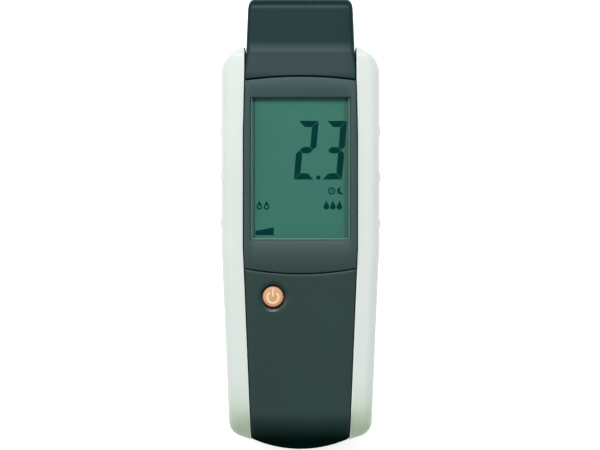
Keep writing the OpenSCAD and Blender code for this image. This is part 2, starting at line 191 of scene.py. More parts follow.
# ---------------------------------------------------------------- mesh tools
def mesh_piece(name, verts, faces, body, material, replaced, sharp=SHARP_ANGLE):
    mesh = bpy.data.meshes.new(name)
    mesh.from_pydata([Vector(v) * MM for v in verts], [], faces)
    work = bmesh.new()
    work.from_mesh(mesh)
    bmesh.ops.remove_doubles(work, verts=work.verts, dist=MERGE_DISTANCE)
    bmesh.ops.dissolve_degenerate(work, edges=work.edges, dist=SLIVER)
    bmesh.ops.recalc_face_normals(work, faces=work.faces)
    for face in work.faces:
        face.smooth = True
    work.to_mesh(mesh)
    work.free()
    mesh.set_sharp_from_angle(angle=math.radians(sharp))
    piece = bpy.data.objects.new(name, mesh)
    bpy.context.scene.collection.objects.link(piece)
    mesh.materials.append(material)
    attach(piece, body)
    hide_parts(*replaced)
    return piece


def loft(rings, cap_start=False, cap_end=False):
    """Joins rings of equal length with quads. A cap is a fan round the ring's middle."""
    verts = [p for ring in rings for p in ring]
    n = len(rings[0])
    faces = []
    for r in range(len(rings) - 1):
        for i in range(n):
            j = (i + 1) % n
            faces.append((r * n + i, r * n + j, (r + 1) * n + j, (r + 1) * n + i))
    for wanted, r in ((cap_start, 0), (cap_end, len(rings) - 1)):
        if wanted:
            ring = rings[r]
            verts.append(tuple(sum(p[k] for p in ring) / n for k in range(3)))
            middle = len(verts) - 1
            faces += [(r * n + i, r * n + (i + 1) % n, middle) for i in range(n)]
    return verts, faces


def loop_loft(rings):
    """Joins rings with quads and the last ring back to the first."""
    return loft(rings + [rings[0]])


def lathe(profile, centre):
    """Turns (radius, z) points round a vertical axis."""
    turns = [math.tau * i / LATHE_SIDES for i in range(LATHE_SIDES)]
    rings = [[(centre[0] + r * math.cos(a), centre[1] + r * math.sin(a), z) for a in turns]
             for r, z in profile]
    return loft(rings)


def cut(piece, verts, faces):
    """Cuts a closed tool shape out of a piece."""
    mesh = bpy.data.meshes.new("cutter")
    mesh.from_pydata([Vector(v) * MM for v in verts], [], faces)
    work = bmesh.new()
    work.from_mesh(mesh)
    bmesh.ops.remove_doubles(work, verts=work.verts, dist=MERGE_DISTANCE)
    bmesh.ops.recalc_face_normals(work, faces=work.faces)
    work.to_mesh(mesh)
    work.free()
    tool = bpy.data.objects.new("cutter", mesh)
    bpy.context.scene.collection.objects.link(tool)
    modifier = piece.modifiers.new("cut", "BOOLEAN")
    modifier.operation = "DIFFERENCE"
    modifier.solver = "EXACT"
    modifier.object = tool
    bpy.context.view_layer.update()
    graph = bpy.context.evaluated_depsgraph_get()
    result = bpy.data.meshes.new_from_object(piece.evaluated_get(graph))
    piece.modifiers.clear()
    piece.data = result
    for polygon in result.polygons:
        polygon.use_smooth = True
    result.set_sharp_from_angle(angle=math.radians(SHARP_ANGLE))
    bpy.data.objects.remove(tool)


# ---------------------------------------------------------------- materials
def node_material(name):
    material = bpy.data.materials.new(name)
    material.use_nodes = True
    nodes, links = material.node_tree.nodes, material.node_tree.links
    return material, nodes, links, nodes["Principled BSDF"]


def noise(nodes, links, scale, detail):
    place = nodes.new("ShaderNodeTexCoord")
    texture = nodes.new("ShaderNodeTexNoise")
    texture.inputs["Scale"].default_value = scale
    texture.inputs["Detail"].default_value = detail
    texture.inputs["Roughness"].default_value = 0.55
    links.new(place.outputs["Object"], texture.inputs["Vector"])
    return texture


def ramp(nodes, links, source, low, high, low_at=0.3, high_at=0.7):
    """Maps a texture's factor to two colours."""
    made = nodes.new("ShaderNodeValToRGB")
    made.color_ramp.elements[0].position = low_at
    made.color_ramp.elements[1].position = high_at
    made.color_ramp.elements[0].color = (*low, 1)
    made.color_ramp.elements[1].color = (*high, 1)
    links.new(source, made.inputs["Fac"])
    return made


def scaled(colour, factor):
    return tuple(min(c * factor, 1.0) for c in colour)


def object_axis(nodes, links, axis, low, high):
    """An object coordinate, mapped so that low mm gives 0 and high mm gives 1."""
    place = nodes.new("ShaderNodeTexCoord")
    split = nodes.new("ShaderNodeSeparateXYZ")
    mapped = nodes.new("ShaderNodeMapRange")
    mapped.inputs["From Min"].default_value = low * MM
    mapped.inputs["From Max"].default_value = high * MM
    links.new(place.outputs["Object"], split.inputs["Vector"])
    links.new(split.outputs[axis], mapped.inputs["Value"])
    return mapped.outputs["Result"]


def surface(name, colour, rough=(0.45, 0.55), variation=0.06, patch=45.0, grain=2600.0,
            bump=0.012, specular=0.5, edge_wear_and_highlight=0.0, soft_edge=0.0, coat=0.0):
    """Moulded or plated stock: uneven colour and roughness, a fine grain, and paler edges, partly
    rubbed wear and partly a painted highlight.
    """
    material, nodes, links, shader = node_material(name)
    cloud = noise(nodes, links, patch, 4.0)
    tint = ramp(nodes, links, cloud.outputs["Fac"], scaled(colour, 1 - variation),
                scaled(colour, 1 + variation))
    colour_out = tint.outputs["Color"]
    # Paler convex edges: partly rubbed wear, partly a painted highlight where edges catch the light.
    if edge_wear_and_highlight:
        edge = nodes.new("ShaderNodeNewGeometry")
        mask = ramp(nodes, links, edge.outputs["Pointiness"], (0, 0, 0), (edge_wear_and_highlight,) * 3, 0.52, 0.62)
        mix = nodes.new("ShaderNodeMix")
        mix.data_type = "RGBA"
        mix.inputs["B"].default_value = (*scaled(colour, 2.2), 1)
        links.new(mask.outputs["Color"], mix.inputs["Factor"])
        links.new(colour_out, mix.inputs["A"])
        colour_out = mix.outputs["Result"]
    links.new(colour_out, shader.inputs["Base Color"])
    fine = noise(nodes, links, grain, 2.0)
    matt = ramp(nodes, links, fine.outputs["Fac"], (rough[0],) * 3, (rough[1],) * 3)
    links.new(matt.outputs["Color"], shader.inputs["Roughness"])
    relief = nodes.new("ShaderNodeBump")
    relief.inputs["Strength"].default_value = 0.5
    relief.inputs["Distance"].default_value = bump * MM
    links.new(fine.outputs["Fac"], relief.inputs["Height"])
    if soft_edge:
        rounding = nodes.new("ShaderNodeBevel")
        rounding.samples = 6
        rounding.inputs["Radius"].default_value = soft_edge * MM
        links.new(rounding.outputs["Normal"], relief.inputs["Normal"])
    links.new(relief.outputs["Normal"], shader.inputs["Normal"])
    shader.inputs["Specular IOR Level"].default_value = specular
    shader.inputs["Coat Weight"].default_value = coat
    shader.inputs["Coat Roughness"].default_value = 0.3
    return material


def blend_into(nodes, links, socket, factor, value):
    """Mixes a colour or a grey value into what already feeds a socket."""
    mix = nodes.new("ShaderNodeMix")
    mix.data_type = "RGBA"
    mix.inputs["B"].default_value = (*value, 1)
    links.new(factor, mix.inputs["Factor"])
    links.new(socket.links[0].from_socket, mix.inputs["A"])
    links.new(mix.outputs["Result"], socket)


def smooth_step(nodes, links, source):
    mapped = nodes.new("ShaderNodeMapRange")
    mapped.interpolation_type = "SMOOTHSTEP"
    links.new(source, mapped.inputs["Value"])
    return mapped.outputs["Result"]


def paint_shading_along(material, axis, start, end, colour, rough):
    """Paints light or shade into a material along an axis, from start to end: it turns to another tone,
    and to another roughness.
    """
    nodes, links = material.node_tree.nodes, material.node_tree.links
    shader = nodes["Principled BSDF"]
    fade = smooth_step(nodes, links, object_axis(nodes, links, axis, start, end))
    blend_into(nodes, links, shader.inputs["Base Color"], fade, colour)
    blend_into(nodes, links, shader.inputs["Roughness"], fade, (rough,) * 3)


def dull_along(material, start, end):
    """Takes the gloss away along Y, from its own level at start to none at end."""
    nodes, links = material.node_tree.nodes, material.node_tree.links
    level = nodes["Principled BSDF"].inputs["Specular IOR Level"]
    own = level.default_value
    fade = smooth_step(nodes, links, object_axis(nodes, links, "Y", start, end))
    gloss = ramp(nodes, links, fade, (own,) * 3, (0.0,) * 3, 0.0, 1.0)
    links.new(gloss.outputs["Color"], level)


POLISH_SOFT = 0.4


def polish_round(material, centre, radius, rough):
    """Makes a round patch about a vertical axis smoother, as fingertips do round a button."""
    nodes, links = material.node_tree.nodes, material.node_tree.links
    place = nodes.new("ShaderNodeTexCoord")
    flat = nodes.new("ShaderNodeVectorMath")
    flat.operation = "MULTIPLY"
    flat.inputs[1].default_value = (1, 1, 0)
    reach = nodes.new("ShaderNodeVectorMath")
    reach.operation = "DISTANCE"
    reach.inputs[1].default_value = (centre.x * MM, centre.y * MM, 0)
    near = nodes.new("ShaderNodeMapRange")
    near.inputs["From Min"].default_value = (radius + POLISH_SOFT) * MM
    near.inputs["From Max"].default_value = radius * MM
    links.new(place.outputs["Object"], flat.inputs[0])
    links.new(flat.outputs["Vector"], reach.inputs[0])
    links.new(reach.outputs["Value"], near.inputs["Value"])
    shader = nodes["Principled BSDF"]
    blend_into(nodes, links, shader.inputs["Roughness"], near.outputs["Result"], (rough,) * 3)


def paint_wall_shade_and_lip_highlight(material, wall_shade, lip):
    """Paints what faces the object's middle: a painted shade on the inner wall, a painted highlight on
    the lip above it.
    """
    nodes, links = material.node_tree.nodes, material.node_tree.links
    place = nodes.new("ShaderNodeTexCoord")
    spot = nodes.new("ShaderNodeSeparateXYZ")
    facing = nodes.new("ShaderNodeSeparateXYZ")
    side = nodes.new("ShaderNodeMath")
    side.operation = "SIGN"
    inward = nodes.new("ShaderNodeMath")
    inward.operation = "MULTIPLY"
    links.new(place.outputs["Object"], spot.inputs["Vector"])
    links.new(place.outputs["Normal"], facing.inputs["Vector"])
    links.new(spot.outputs["X"], side.inputs[0])
    links.new(side.outputs["Value"], inward.inputs[0])
    links.new(facing.outputs["X"], inward.inputs[1])
    base = nodes["Principled BSDF"].inputs["Base Color"]
    # The lip gets a painted highlight and the inner wall a painted shade, by how far the surface turns
    # inward.
    for colour, start, end in ((lip, -0.12, -0.35), (wall_shade, -0.9, -0.97)):
        mask = nodes.new("ShaderNodeMapRange")
        mask.inputs["From Min"].default_value = start
        mask.inputs["From Max"].default_value = end
        links.new(inward.outputs["Value"], mask.inputs["Value"])
        blend_into(nodes, links, base, mask.outputs["Result"], colour)


def brushed(name, colour, rough=(0.2, 0.4), stretch=(1.0, 0.03, 1.0)):
    """Metal with fine lines along one direction."""
    material, nodes, links, shader = node_material(name)
    place = nodes.new("ShaderNodeTexCoord")
    squeeze = nodes.new("ShaderNodeMapping")
    squeeze.inputs["Scale"].default_value = stretch
    lines = nodes.new("ShaderNodeTexNoise")
    lines.inputs["Scale"].default_value = 900.0
    lines.inputs["Detail"].default_value = 4.0
    links.new(place.outputs["Object"], squeeze.inputs["Vector"])
    links.new(squeeze.outputs["Vector"], lines.inputs["Vector"])
    tint = ramp(nodes, links, lines.outputs["Fac"], scaled(colour, 0.85), scaled(colour, 1.1))
    matt = ramp(nodes, links, lines.outputs["Fac"], (rough[0],) * 3, (rough[1],) * 3)
    relief = nodes.new("ShaderNodeBump")
    relief.inputs["Strength"].default_value = 0.3
    relief.inputs["Distance"].default_value = 0.01 * MM
    links.new(tint.outputs["Color"], shader.inputs["Base Color"])
    links.new(matt.outputs["Color"], shader.inputs["Roughness"])
    links.new(lines.outputs["Fac"], relief.inputs["Height"])
    links.new(relief.outputs["Normal"], shader.inputs["Normal"])
    shader.inputs["Metallic"].default_value = 1.0
    return material


def clear_pane(name):
    """A clear pane: see-through on the flat, with a faint haze, and paler, less clear bevels: a painted
    highlight on the polished lip.
    """
    material, nodes, links, shader = node_material(name)
    haze = noise(nodes, links, 60.0, 5.0)
    matt = ramp(nodes, links, haze.outputs["Fac"], (0.06,) * 3, (0.12,) * 3)
    facing = nodes.new("ShaderNodeNewGeometry")
    split = nodes.new("ShaderNodeSeparateXYZ")
    links.new(facing.outputs["Normal"], split.inputs["Vector"])
    flat = nodes.new("ShaderNodeMath")
    flat.operation = "ABSOLUTE"
    links.new(split.outputs["Z"], flat.inputs[0])
    # Painted highlight: the bevels are paler and less see-through than the flat.
    cover = ramp(nodes, links, flat.outputs["Value"], (0.5,) * 3, (0.02,) * 3, 0.8, 0.98)
    tint = ramp(nodes, links, flat.outputs["Value"], (0.16, 0.27, 0.24), (0.03, 0.09, 0.075),
                0.8, 0.98)
    links.new(tint.outputs["Color"], shader.inputs["Base Color"])
    links.new(cover.outputs["Color"], shader.inputs["Alpha"])
    links.new(matt.outputs["Color"], shader.inputs["Roughness"])
    shader.inputs["Specular IOR Level"].default_value = 0.3
    return material


def display_glass(name, colour, olive, line):
    """The display's polarising film: a cloudy green, an olive margin and a thin dark edge line."""
    material, nodes, links, shader = node_material(name)
    across = object_axis(nodes, links, "X", glass_low.x, glass_high.x)
    width = glass_high.x - glass_low.x
    bands = nodes.new("ShaderNodeValToRGB")
    stops = [(-14.45, colour), (-14.35, line), (-14.1, line), (-14.0, colour), (13.2, colour),
             (13.6, olive), (14.55, olive), (14.65, line), (14.85, line), (14.95, colour)]
    while len(bands.color_ramp.elements) < len(stops):
        bands.color_ramp.elements.new(0.5)
    for stop, (x, tone) in zip(bands.color_ramp.elements, stops):
        stop.position = (x - glass_low.x) / width
        stop.color = (*tone, 1)
    links.new(across, bands.inputs["Fac"])
    cloud = noise(nodes, links, 35.0, 4.0)
    shade = ramp(nodes, links, cloud.outputs["Fac"], (0.94,) * 3, (1.06, 1.04, 1.03))
    mix = nodes.new("ShaderNodeMix")
    mix.data_type = "RGBA"
    mix.blend_type = "MULTIPLY"
    mix.inputs["Factor"].default_value = 1.0
    links.new(bands.outputs["Color"], mix.inputs["A"])
    links.new(shade.outputs["Color"], mix.inputs["B"])
    links.new(mix.outputs["Result"], shader.inputs["Base Color"])
    fine = noise(nodes, links, 1800.0, 2.0)
    matt = ramp(nodes, links, fine.outputs["Fac"], (0.3,) * 3, (0.4,) * 3)
    links.new(matt.outputs["Color"], shader.inputs["Roughness"])
    shader.inputs["Specular IOR Level"].default_value = 0.1
    return material


def speckled_board(name):
    """Solder mask with copper tracks showing through as slightly lighter lines."""
    material, nodes, links, shader = node_material(name)
    place = nodes.new("ShaderNodeTexCoord")
    tracks = nodes.new("ShaderNodeTexBrick")
    tracks.inputs["Scale"].default_value = 260.0
    tracks.inputs["Mortar Size"].default_value = 0.012
    tracks.inputs["Color1"].default_value = (0.012, 0.1, 0.04, 1)
    tracks.inputs["Color2"].default_value = (0.016, 0.13, 0.05, 1)
    tracks.inputs["Mortar"].default_value = (0.06, 0.22, 0.08, 1)
    links.new(place.outputs["Object"], tracks.inputs["Vector"])
    relief = nodes.new("ShaderNodeBump")
    relief.inputs["Distance"].default_value = 0.02 * MM
    links.new(tracks.outputs["Fac"], relief.inputs["Height"])
    links.new(tracks.outputs["Color"], shader.inputs["Base Color"])
    links.new(relief.outputs["Normal"], shader.inputs["Normal"])
    shader.inputs["Roughness"].default_value = 0.35
    return material


# The bezel's tone is the case plastic painted paler: painted light, as more light falls near the top
# end.
LOWER = (0.0125, 0.031, 0.0275)
UPPER_LIT = (0.022, 0.0465, 0.047)
case_dark = surface("case_dark", LOWER, rough=(0.38, 0.48), specular=0.15, edge_wear_and_highlight=0.2)
# Painted shade: the case turns near black over the foot's rounded end, where the light doesn't reach.
paint_shading_along(case_dark, "Y", FOOT_Y + 12.0, FOOT_Y + 2.5, (0.0005, 0.0065, 0.005), 0.8)
dull_along(case_dark, FOOT_Y + 12.0, FOOT_Y + 3.5)
polish_round(case_dark, BUTTON, DISH_R, 0.27)
rear_dark = surface("rear_dark", LOWER, rough=(0.45, 0.56), specular=0.2, soft_edge=0.35)
bezel_dark = surface("bezel_dark", UPPER_LIT, rough=(0.38, 0.48), variation=0.04, specular=0.18,
                     edge_wear_and_highlight=0.1)
# Painted shade: the bezel darkens towards its lower edge, as the light from the top end falls off.
paint_shading_along(bezel_dark, "Y", -3.0, bezel_low.y, (0.0164, 0.0341, 0.0312), 0.43)
cap_dark = surface("cap_dark", (0.001, 0.0165, 0.0185), rough=(0.34, 0.41), specular=0.1,
                   edge_wear_and_highlight=0.25)
# Painted light: the cap's face is paler near the ridge line and darker towards the tip.
paint_shading_along(cap_dark, "Y", RIDGE_Y + 6.0, RIDGE_Y - 1.0, (0.007, 0.026, 0.0275), 0.38)
rail_silver = surface("rail_silver", (0.48, 0.525, 0.495), rough=(0.36, 0.46), variation=0.02,
                      grain=3600.0, bump=0.006, specular=0.3, coat=0.1)
# Painted shade: the rails turn darker and greener towards their rounded foot.
paint_shading_along(rail_silver, "Y", -45.0, FOOT_Y + 3.0, (0.33, 0.42, 0.3), 0.45)
# Painted shade on the rails' inner walls down the narrow gaps, and a painted highlight on their lips.
paint_wall_shade_and_lip_highlight(rail_silver, LOWER, (0.66, 0.71, 0.68))
orange = surface("button_orange", (0.44, 0.23, 0.108), rough=(0.4, 0.5), variation=0.04,
                 patch=300.0)
# Painted shade: the button's skirt turns dark brown below its top, down in the hole.
paint_shading_along(orange, "Z", button_high.z - 0.5, button_high.z - 1.0, (0.045, 0.011, 0.002), 0.6)
cream = surface("icon_cream", (0.62, 0.475, 0.27), rough=(0.45, 0.55), variation=0.03,
                patch=400.0)
pane_clear = clear_pane("window_clear")
lcd_green = display_glass("lcd_green", (0.026, 0.12, 0.091), (0.025, 0.087, 0.06),
                          (0.008, 0.045, 0.035))
lcd_ink = surface("lcd_ink", (0.0003, 0.025, 0.0225), rough=(0.5, 0.6), patch=300.0,
                  specular=0.0)
film = brushed("reflector_film", (0.6, 0.65, 0.6))
frame_black = surface("frame_black", (0.02, 0.02, 0.022))
foam = surface("gasket_foam", (0.02, 0.02, 0.02), rough=(0.8, 0.95), grain=1500.0, bump=0.05)
zebra = surface("zebra_rubber", (0.5, 0.19, 0.2), rough=(0.6, 0.7))
board = speckled_board("board_green")
chip_black = surface("chip_black", (0.015, 0.015, 0.016), rough=(0.5, 0.65), grain=4000.0)
chip_ceramic = surface("chip_ceramic", (0.35, 0.26, 0.16), rough=(0.4, 0.5))
switch_black = surface("switch_black", (0.03, 0.03, 0.03))
probe_dark = surface("probe_dark", (0.028, 0.04, 0.041), rough=(0.45, 0.6), edge_wear_and_highlight=0.2)
brass = brushed("socket_brass", (0.78, 0.55, 0.22))
steel = brushed("pin_steel", (0.5, 0.5, 0.52), rough=(0.15, 0.3))
nickel = brushed("collar_nickel", (0.5, 0.48, 0.45), rough=(0.12, 0.25))
wire_red = surface("wire_red", (0.5, 0.03, 0.02), rough=(0.35, 0.45))
cell_steel = brushed("cell_steel", (0.72, 0.72, 0.74), rough=(0.22, 0.38), stretch=(1, 1, 0.05))
contact = brushed("contact_plated", (0.75, 0.7, 0.5))
screw_steel = brushed("screw_steel", (0.5, 0.5, 0.52))

CAD_MATERIALS = {
    "lcd_glass": lcd_green, "lcd_segments": lcd_ink, "lcd_reflector": film,
    "lcd_frame": frame_black, "window_gasket": foam, "zebra_strip_upper": zebra,
    "zebra_strip_lower": zebra, "main_board": board, "controller_chip": chip_black,
    "amplifier_chip": chip_black, "chip_resistors": chip_black, "chip_capacitors": chip_ceramic,
    "switch_base": switch_black, "switch_plunger": switch_black, "probe_head": probe_dark,
    "pin_socket_left": brass, "pin_socket_right": brass, "electrode_pin_left": steel,
    "electrode_pin_right": steel, "pin_collar_left": nickel, "pin_collar_right": nickel,
    "pin_wire_left": wire_red, "pin_wire_right": wire_red, "coin_cell_bottom": cell_steel,
    "coin_cell_middle": cell_steel, "coin_cell_top": cell_steel,
    "battery_side_contact": contact, "battery_top_contact": contact,
    "case_screws": screw_steel, "board_screws": screw_steel, "button_icon": cream,
    "rear_housing": rear_dark, "battery_cover": rear_dark}

for node, material in CAD_MATERIALS.items():
    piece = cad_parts[node]
    piece.data.materials.clear()
    piece.data.materials.append(material)


# ---------------------------------------------------------------- camera, lights and floor
LENS, SENSOR_WIDTH = 200.0, 36.0
HEIGHT_TO_WIDTH = 0.75
FRAMING = 1.002
FOCUS_SHARE = 0.62
CAMERA_X = -0.12


def make_camera():
    """Square on to the front, so far off that the object just fills the picture's height."""
    data = bpy.data.cameras.new("camera")
    camera = bpy.data.objects.new("camera", data)
    bpy.context.scene.collection.objects.link(camera)
    bpy.context.scene.camera = camera
    data.lens, data.sensor_width = LENS, SENSOR_WIDTH
    length = cad_box[1].y - cad_box[0].y
    picture_height = length * FRAMING
    visible = SENSOR_WIDTH * HEIGHT_TO_WIDTH / LENS
    middle_z = PANEL_Z * FOCUS_SHARE * MM
    camera.location = (CAMERA_X * MM, 0, middle_z + picture_height / visible)
    data.clip_end = 10.0


LIGHT_SIZE = 0.3


def area_light(name, place, power):
    """A square light, aimed at the object. Its place is in metres and its power in watts."""
    data = bpy.data.lights.new(name, "AREA")
    data.shape, data.size, data.energy = "SQUARE", LIGHT_SIZE, power
    light = bpy.data.objects.new(name, data)
    light.location = place
    light.rotation_euler = (-Vector(place)).to_track_quat("-Z", "Y").to_euler()
    bpy.context.scene.collection.objects.link(light)


def studio_world():
    """White overhead and at the sides, dimmer low down beyond the tip and beyond the foot."""
    world = bpy.data.worlds.new("studio")
    world.use_nodes = True
    nodes, links = world.node_tree.nodes, world.node_tree.links
    place = nodes.new("ShaderNodeTexCoord")
    split = nodes.new("ShaderNodeSeparateXYZ")
    mapped = nodes.new("ShaderNodeMapRange")
    mapped.inputs["From Min"].default_value = -0.8
    mapped.inputs["From Max"].default_value = 0.8
    links.new(place.outputs["Generated"], split.inputs["Vector"])
    links.new(split.outputs["Y"], mapped.inputs["Value"])
    tone = ramp(nodes, links, mapped.outputs["Result"], (0.15,) * 3, (0.3,) * 3, 0.0, 1.0)
    overhead = tone.color_ramp.elements.new(0.5)
    overhead.color = (0.93, 0.93, 0.93, 1)
    links.new(tone.outputs["Color"], nodes["Background"].inputs["Color"])
    bpy.context.scene.world = world


FLOOR_HALF = 2.0
FLOOR_GAP = 0.02
FLOOR_GLOW = 0.55


def make_stage():
    """The lights, and a pale floor that glows enough to keep its shadows soft."""
    studio_world()
    bpy.context.scene.view_settings.view_transform = "Standard"
    area_light("key", (-0.02, 0.46, 0.82), 7.4)
    area_light("left_softbox", (-0.42, 0.25, 0.8), 2.0)
    half = FLOOR_HALF
    mesh = bpy.data.meshes.new("floor")
    mesh.from_pydata([(-half, -half, 0), (half, -half, 0), (half, half, 0), (-half, half, 0)],
                     [], [(0, 1, 2, 3)])
    floor = bpy.data.objects.new("floor", mesh)
    floor.location.z = -FLOOR_GAP * MM
    acrylic = surface("floor_acrylic", (0.93, 0.93, 0.93), rough=(0.8, 0.9), variation=0.005,
                      patch=8.0, grain=300.0, bump=0.02)
    glow = acrylic.node_tree.nodes["Principled BSDF"].inputs
    glow["Emission Color"].default_value = (1, 1, 1, 1)
    glow["Emission Strength"].default_value = FLOOR_GLOW
    mesh.materials.append(acrylic)
    bpy.context.scene.collection.objects.link(floor)


make_camera()
make_stage()


# ---------------------------------------------------------------- display bezel and pane
def box_ring(half, y0, y1, z):
    """A rectangular loop at one height, centred on x = 0."""
    corners = [(-half, y1), (half, y1), (half, y0), (-half, y0), (-half, y1)]
    shares = steps(0, 1, SIDE_STEPS)[:-1]
    points = []
    for a, b in zip(corners, corners[1:]):
        points += [(lerp(a[0], b[0], t), lerp(a[1], b[1], t), z) for t in shares]
    return points


def window_ring(grow, z):
    return box_ring(WINDOW_HALF + grow, WINDOW_LOW - grow, WINDOW_HIGH + grow, z)


def bezel_ring(inset, z):
    """The bezel's outline, set in, as a loop that matches box_ring() point for point."""
    half = strip_half(upper_seam(STRIP_HALF, -inset)) - inset
    low_half = strip_half(lower_seam(half, -inset)) - inset
    top_y, low_y = upper_seam(half, -inset), lower_seam(low_half, -inset)
    across = steps(-half, half, SIDE_STEPS)[:-1]
    down = steps(top_y, low_y, SIDE_STEPS)[:-1]
    back = steps(low_half, -low_half, SIDE_STEPS)[:-1]
    up = steps(low_y, top_y, SIDE_STEPS)[:-1]
    points = [(x, upper_seam(x, -inset), z) for x in across]
    points += [(strip_half(y) - inset, y, z) for y in down]
    points += [(x, lower_seam(x, -inset), z) for x in back]
    points += [(inset - strip_half(y), y, z) for y in up]
    return points


PANE_FLANGE_Z = 24.9
PANE_ROOM = 0.08


def make_bezel():
    """The panel round the display: rounded outside, with a soft window edge and a pocket below."""
    base, top = bezel_low.z, BEZEL_Z
    ceiling = PANE_FLANGE_Z + 0.05
    edge, side = 0.22, 0.05
    rings = [bezel_ring(side, base), bezel_ring(side, top - edge)]
    for angle in (22.5, 45, 67.5, 90):
        c, s = turn_of(angle)
        rings.append(bezel_ring(side + edge * (1 - c), top - edge * (1 - s)))
    pocket = (pane_high.x + PANE_ROOM, pane_low.y - PANE_ROOM, pane_high.y + PANE_ROOM)
    rings += [window_ring(0.3, top), window_ring(0.2, top - 0.03), window_ring(0.06, top - 0.12),
              window_ring(0, top - 0.25), window_ring(0, ceiling), box_ring(*pocket, ceiling),
              box_ring(*pocket, base)]
    verts, faces = loop_loft(rings)
    mesh_piece("bezel_panel", verts, faces, "case", bezel_dark, ["display_bezel"])


def pane_ring(inset, z):
    """A loop in the window, set in on three sides only: the lip doesn't run along the top."""
    gap = 0.12
    return box_ring(WINDOW_HALF - gap - inset, WINDOW_LOW + gap + inset, WINDOW_HIGH - gap, z)


def make_pane():
    """The clear pane: a flange under the bezel, and a face with a low polished lip round it."""
    lip, fall = 0.12, 0.3
    outer = (pane_high.x, pane_low.y, pane_high.y)
    rings = [box_ring(*outer, pane_low.z), box_ring(*outer, PANE_FLANGE_Z),
             pane_ring(0, PANE_FLANGE_Z + 0.01), pane_ring(0, pane_high.z), pane_ring(lip, pane_high.z),
             pane_ring(lip + fall, pane_high.z - fall)]
    verts, faces = loft(rings, cap_start=True, cap_end=True)
    mesh_piece("window_pane", verts, faces, "case", pane_clear,
               ["display_window"])


# ---------------------------------------------------------------- lower front panel
SEAM_SHARE = 0.015


def panel_stations():
    """Stations along the lower panel: how far the front goes flat, then the turn at the foot."""
    flat = [(t, 0.0) for t in (0.0, 0.003, 0.008, SEAM_SHARE)]
    flat += [(t, 0.0) for t in steps(0.03, 1.0, 30)]
    return flat + [(1.0, math.radians(a)) for a in steps(0, 90, 24)[1:]]


def panel_section(station, inset):
    """Points from the left wall's rim over the front to the right wall's rim."""
    flat, turn = station

    def place(x):
        if flat < 1:
            return lerp(lower_seam(x, LOWER_SEAM_GAP), FOOT_START, flat)
        return FOOT_START + (foot_end(x, inset) - FOOT_START) * math.sin(turn)

    z_top = PARTING_Z + (PANEL_Z - inset - PARTING_Z) * math.cos(turn)
    if flat < SEAM_SHARE and inset == 0:
        z_top -= SEAM_ROUND * (1 - math.sqrt(1 - (1 - flat / SEAM_SHARE) ** 2))
    half = strip_half(place(STRIP_HALF - 1)) - inset
    half = strip_half(place(half)) - inset
    edge = min(0.4, z_top - PARTING_Z)
    rise = steps(PARTING_Z, z_top - edge, 4)
    arc = [turn_of(a) for a in (22.5, 45, 67.5)]
    points = [(-half, place(half), z) for z in rise]
    points += [(-half + edge * (1 - c), place(half), z_top - edge * (1 - s)) for c, s in arc]
    points += [(x, place(x), z_top) for x in steps(-half + edge, half - edge, PANEL_STEPS)]
    points += [(half - edge * (1 - c), place(half), z_top - edge * (1 - s)) for c, s in arc[::-1]]
    points += [(half, place(half), z) for z in reversed(rise)]
    return points


DISH_RIM = 0.05
DISH_FALL = ((0.04, 0.01), (0.12, 0.035), (0.3, 0.095), (0.44, 0.135))
HOLE_ROUND = ((0.12, 0.2), (0.0, 0.4))
HOLE_DEPTH = 5


def dish_tool():
    """The cutter for the button's shallow dish and its hole."""
    above = PANEL_Z + 1
    profile = [(0.0, above), (DISH_R + DISH_RIM, above), (DISH_R + DISH_RIM, PANEL_Z + 0.001)]
    profile += [(DISH_R - inward, PANEL_Z - down) for inward, down in DISH_FALL]
    profile += [(BUTTON_HOLE_R + outward, PANEL_Z - down) for outward, down in HOLE_ROUND]
    profile += [(BUTTON_HOLE_R, PANEL_Z - HOLE_DEPTH), (0.0, PANEL_Z - HOLE_DEPTH)]
    return lathe(profile, (BUTTON.x, BUTTON.y))


def make_lower_panel():
    """The front below the display: a thin shell that turns down at the foot."""
    rings = []
    for station in panel_stations():
        outer = panel_section(station, 0.0)
        inner = panel_section(station, WALL)
        rings.append(outer + inner[::-1])
    verts, faces = loft(rings)
    n = len(rings[0])
    half = n // 2
    for start in (0, (len(rings) - 1) * n):
        for i in range(half - 1):
            faces.append((start + i, start + i + 1, start + n - 2 - i, start + n - 1 - i))
    panel = mesh_piece("front_panel", verts, faces, "case", case_dark,
                       ["front_housing"])
    cut(panel, *dish_tool())


# ---------------------------------------------------------------- the case under the bezel
def make_upper_case():
    """The shelf walls that carry the bezel: the part of the front housing behind the display."""
    base, top = PARTING_Z, bezel_low.z - 0.01
    outer = box_ring(1.0, bezel_low.y - 1.0, bezel_high.y - 1.3, 0)
    inner = (glass_high.x + 0.7, glass_low.y - 1.6, glass_high.y + 1.6)
    rings = [[(x * (strip_half(y) - 0.02), y, z) for x, y, _ in outer] for z in (base, top)]
    rings += [box_ring(*inner, top), box_ring(*inner, base)]
    verts, faces = loop_loft(rings)
    mesh_piece("display_shelf", verts, faces, "case", case_dark, ["front_housing"])


# ---------------------------------------------------------------- side rails
def heel_corner():
    """Where the heel's rounding turns into the slanted toe edge."""
    x, y, r = HEEL
    return x + r * math.cos(HEEL_TURN), y - r * math.sin(HEEL_TURN)


def outline_half(y):
    """Half width of the whole body in plan."""
    x, cy, r = SHOULDER
    if y > cy:
        return x + math.sqrt(max(r * r - (y - cy) ** 2, 0.0))
    corner_x, corner_y = heel_corner()
    if y < corner_y:
        return lerp(corner_x, TOE[0], (corner_y - y) / (corner_y - TOE[1]))
    x, cy, r = HEEL
    if y < cy:
        return x + math.sqrt(max(r * r - (y - cy) ** 2, 0.0))
    if y < TAPER_Y:
        return lerp(RAIL_HALF, x + r, (TAPER_Y - y) / (TAPER_Y - cy))
    return RAIL_HALF


